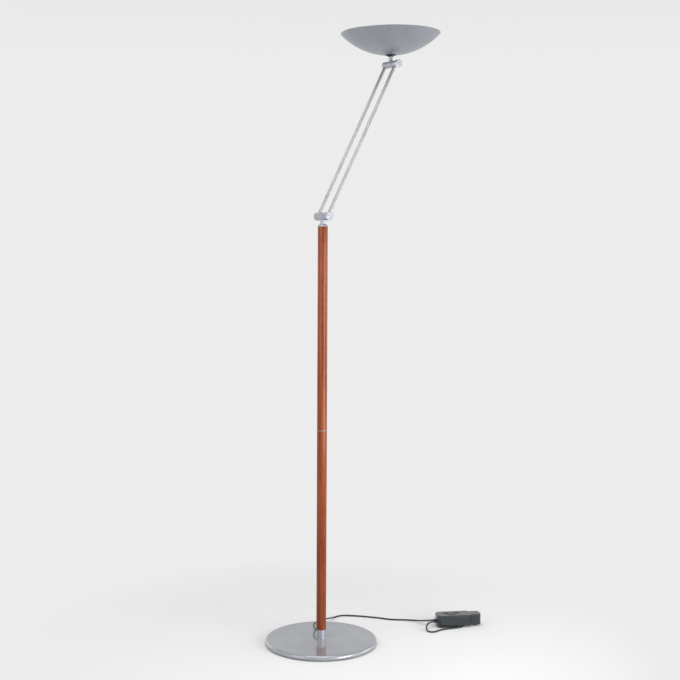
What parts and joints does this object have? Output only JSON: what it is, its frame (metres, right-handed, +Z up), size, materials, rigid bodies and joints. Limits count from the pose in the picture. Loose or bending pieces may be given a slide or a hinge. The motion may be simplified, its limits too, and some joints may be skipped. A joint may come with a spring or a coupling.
{
  "type": "torchiere floor lamp",
  "caption": "Uplighter floor lamp on a round base: wooden pole, twin-rod tilting arm, tilting metal bowl head with a halogen lamp, cord dimmer.",
  "frame": {"origin": "centre of the base's underside, on the floor and on the pole's axis", "axes": "+Z up the pole, +X the way the arm leans, hinge axes along Y with the knobs at -Y"},
  "size_m": [0.6691, 0.3307, 1.7482],
  "materials": {
    "felt": "matt felt",
    "cast_iron": "rough cast",
    "base_lacquer": "satin silver lacquer",
    "plated_steel": "zinc plated",
    "satin_metal": "satin nickel",
    "rod_metal": "satin nickel",
    "knob_metal": "polished",
    "cherry_wood": "stained and semi-gloss varnished",
    "black_plastic": "moulded",
    "cord_black": "soft PVC",
    "wire_sleeve": "sleeved",
    "dark_metal": "dark satin",
    "bowl_lacquer": "satin silver-grey lacquer",
    "reflector": "anodised",
    "ceramic": "unglazed steatite",
    "quartz": "clear quartz",
    "clear_glass": "clear toughened",
    "dimmer_plastic": "fine grain",
    "slider_plastic": "fine grain",
    "board": "solder mask",
    "pin_metal": "nickel plated"
  },
  "bodies": {
    "stand": {"base_pad": "felt", "base_cover": "base_lacquer", "base_weight": "cast_iron", "clamp_washer": "plated_steel", "clamp_nut": "plated_steel", "lower_conduit": "plated_steel", "upper_conduit": "plated_steel", "conduit_coupler": "plated_steel", "ferrule": "satin_metal", "lower_pole": "cherry_wood", "joint_ring": "satin_metal", "upper_pole": "cherry_wood", "pole_cap": "satin_metal", "cord_grommet": "black_plastic", "pole_wire": "cord_black", "dimmer_base": "dimmer_plastic", "dimmer_cover": "dimmer_plastic", "circuit_board": "board", "cord_relief": "cord_black", "mains_relief": "cord_black", "lamp_cord": "cord_black", "mains_lead": "cord_black", "mains_coil": "cord_black", "plug_relief": "cord_black", "plug_body": "cord_black", "plug_pins": "pin_metal"},
    "swivel": {"pivot_block": "satin_metal", "lower_friction_washers": "black_plastic"},
    "arm": {"front_lower_collar": "satin_metal", "front_upper_collar": "satin_metal", "front_rod": "rod_metal", "back_lower_collar": "satin_metal", "back_upper_collar": "satin_metal", "back_rod": "rod_metal", "rod_wires": "wire_sleeve", "lower_axle": "satin_metal", "upper_axle": "satin_metal"},
    "head": {"head_block": "satin_metal", "upper_friction_washers": "black_plastic", "stem": "satin_metal", "seat_cup": "dark_metal", "bowl_shell": "bowl_lacquer", "bowl_washer": "plated_steel", "bowl_nut": "plated_steel", "carrier_sleeve": "plated_steel", "reflector_pan": "reflector", "lamp_bracket": "plated_steel", "bracket_nut": "plated_steel", "lampholders": "ceramic", "lamp_tube": "quartz", "lamp_caps": "ceramic", "safety_glass": "clear_glass", "glass_clips": "plated_steel"},
    "lower_knob": {"lower_knob": "knob_metal"},
    "upper_knob": {"upper_knob": "knob_metal"},
    "slider": {"dimmer_slider": "slider_plastic"}
  },
  "joints": [
    {"name": "arm_swivel", "type": "hinge", "parent": "stand", "child": "swivel", "pos_m": [0, 0, 1.215], "axis": [0, 0, 1], "range_deg": [-170, 170]},
    {"name": "arm_pivot", "type": "hinge", "parent": "swivel", "child": "arm", "pos_m": [0, 0, 1.215], "axis": [0, 1, 0], "range_deg": [-110, 70]},
    {"name": "head_tilt", "type": "hinge", "parent": "arm", "child": "head", "pos_m": [0.2456, 0, 1.65626], "axis": [0, 1, 0], "range_deg": [-75, 135]},
    {"name": "lower_knob_turn", "type": "hinge", "parent": "arm", "child": "lower_knob", "pos_m": [0, 0, 1.215], "axis": [0, -1, 0], "range_deg": [0, 180]},
    {"name": "upper_knob_turn", "type": "hinge", "parent": "arm", "child": "upper_knob", "pos_m": [0.2456, 0, 1.65626], "axis": [0, -1, 0], "range_deg": [0, 180]},
    {"name": "slider_travel", "type": "slide", "parent": "stand", "child": "slider", "axis": [0.8704, -0.4924, 0], "range_m": [-0.014, 0.014]}
  ]
}
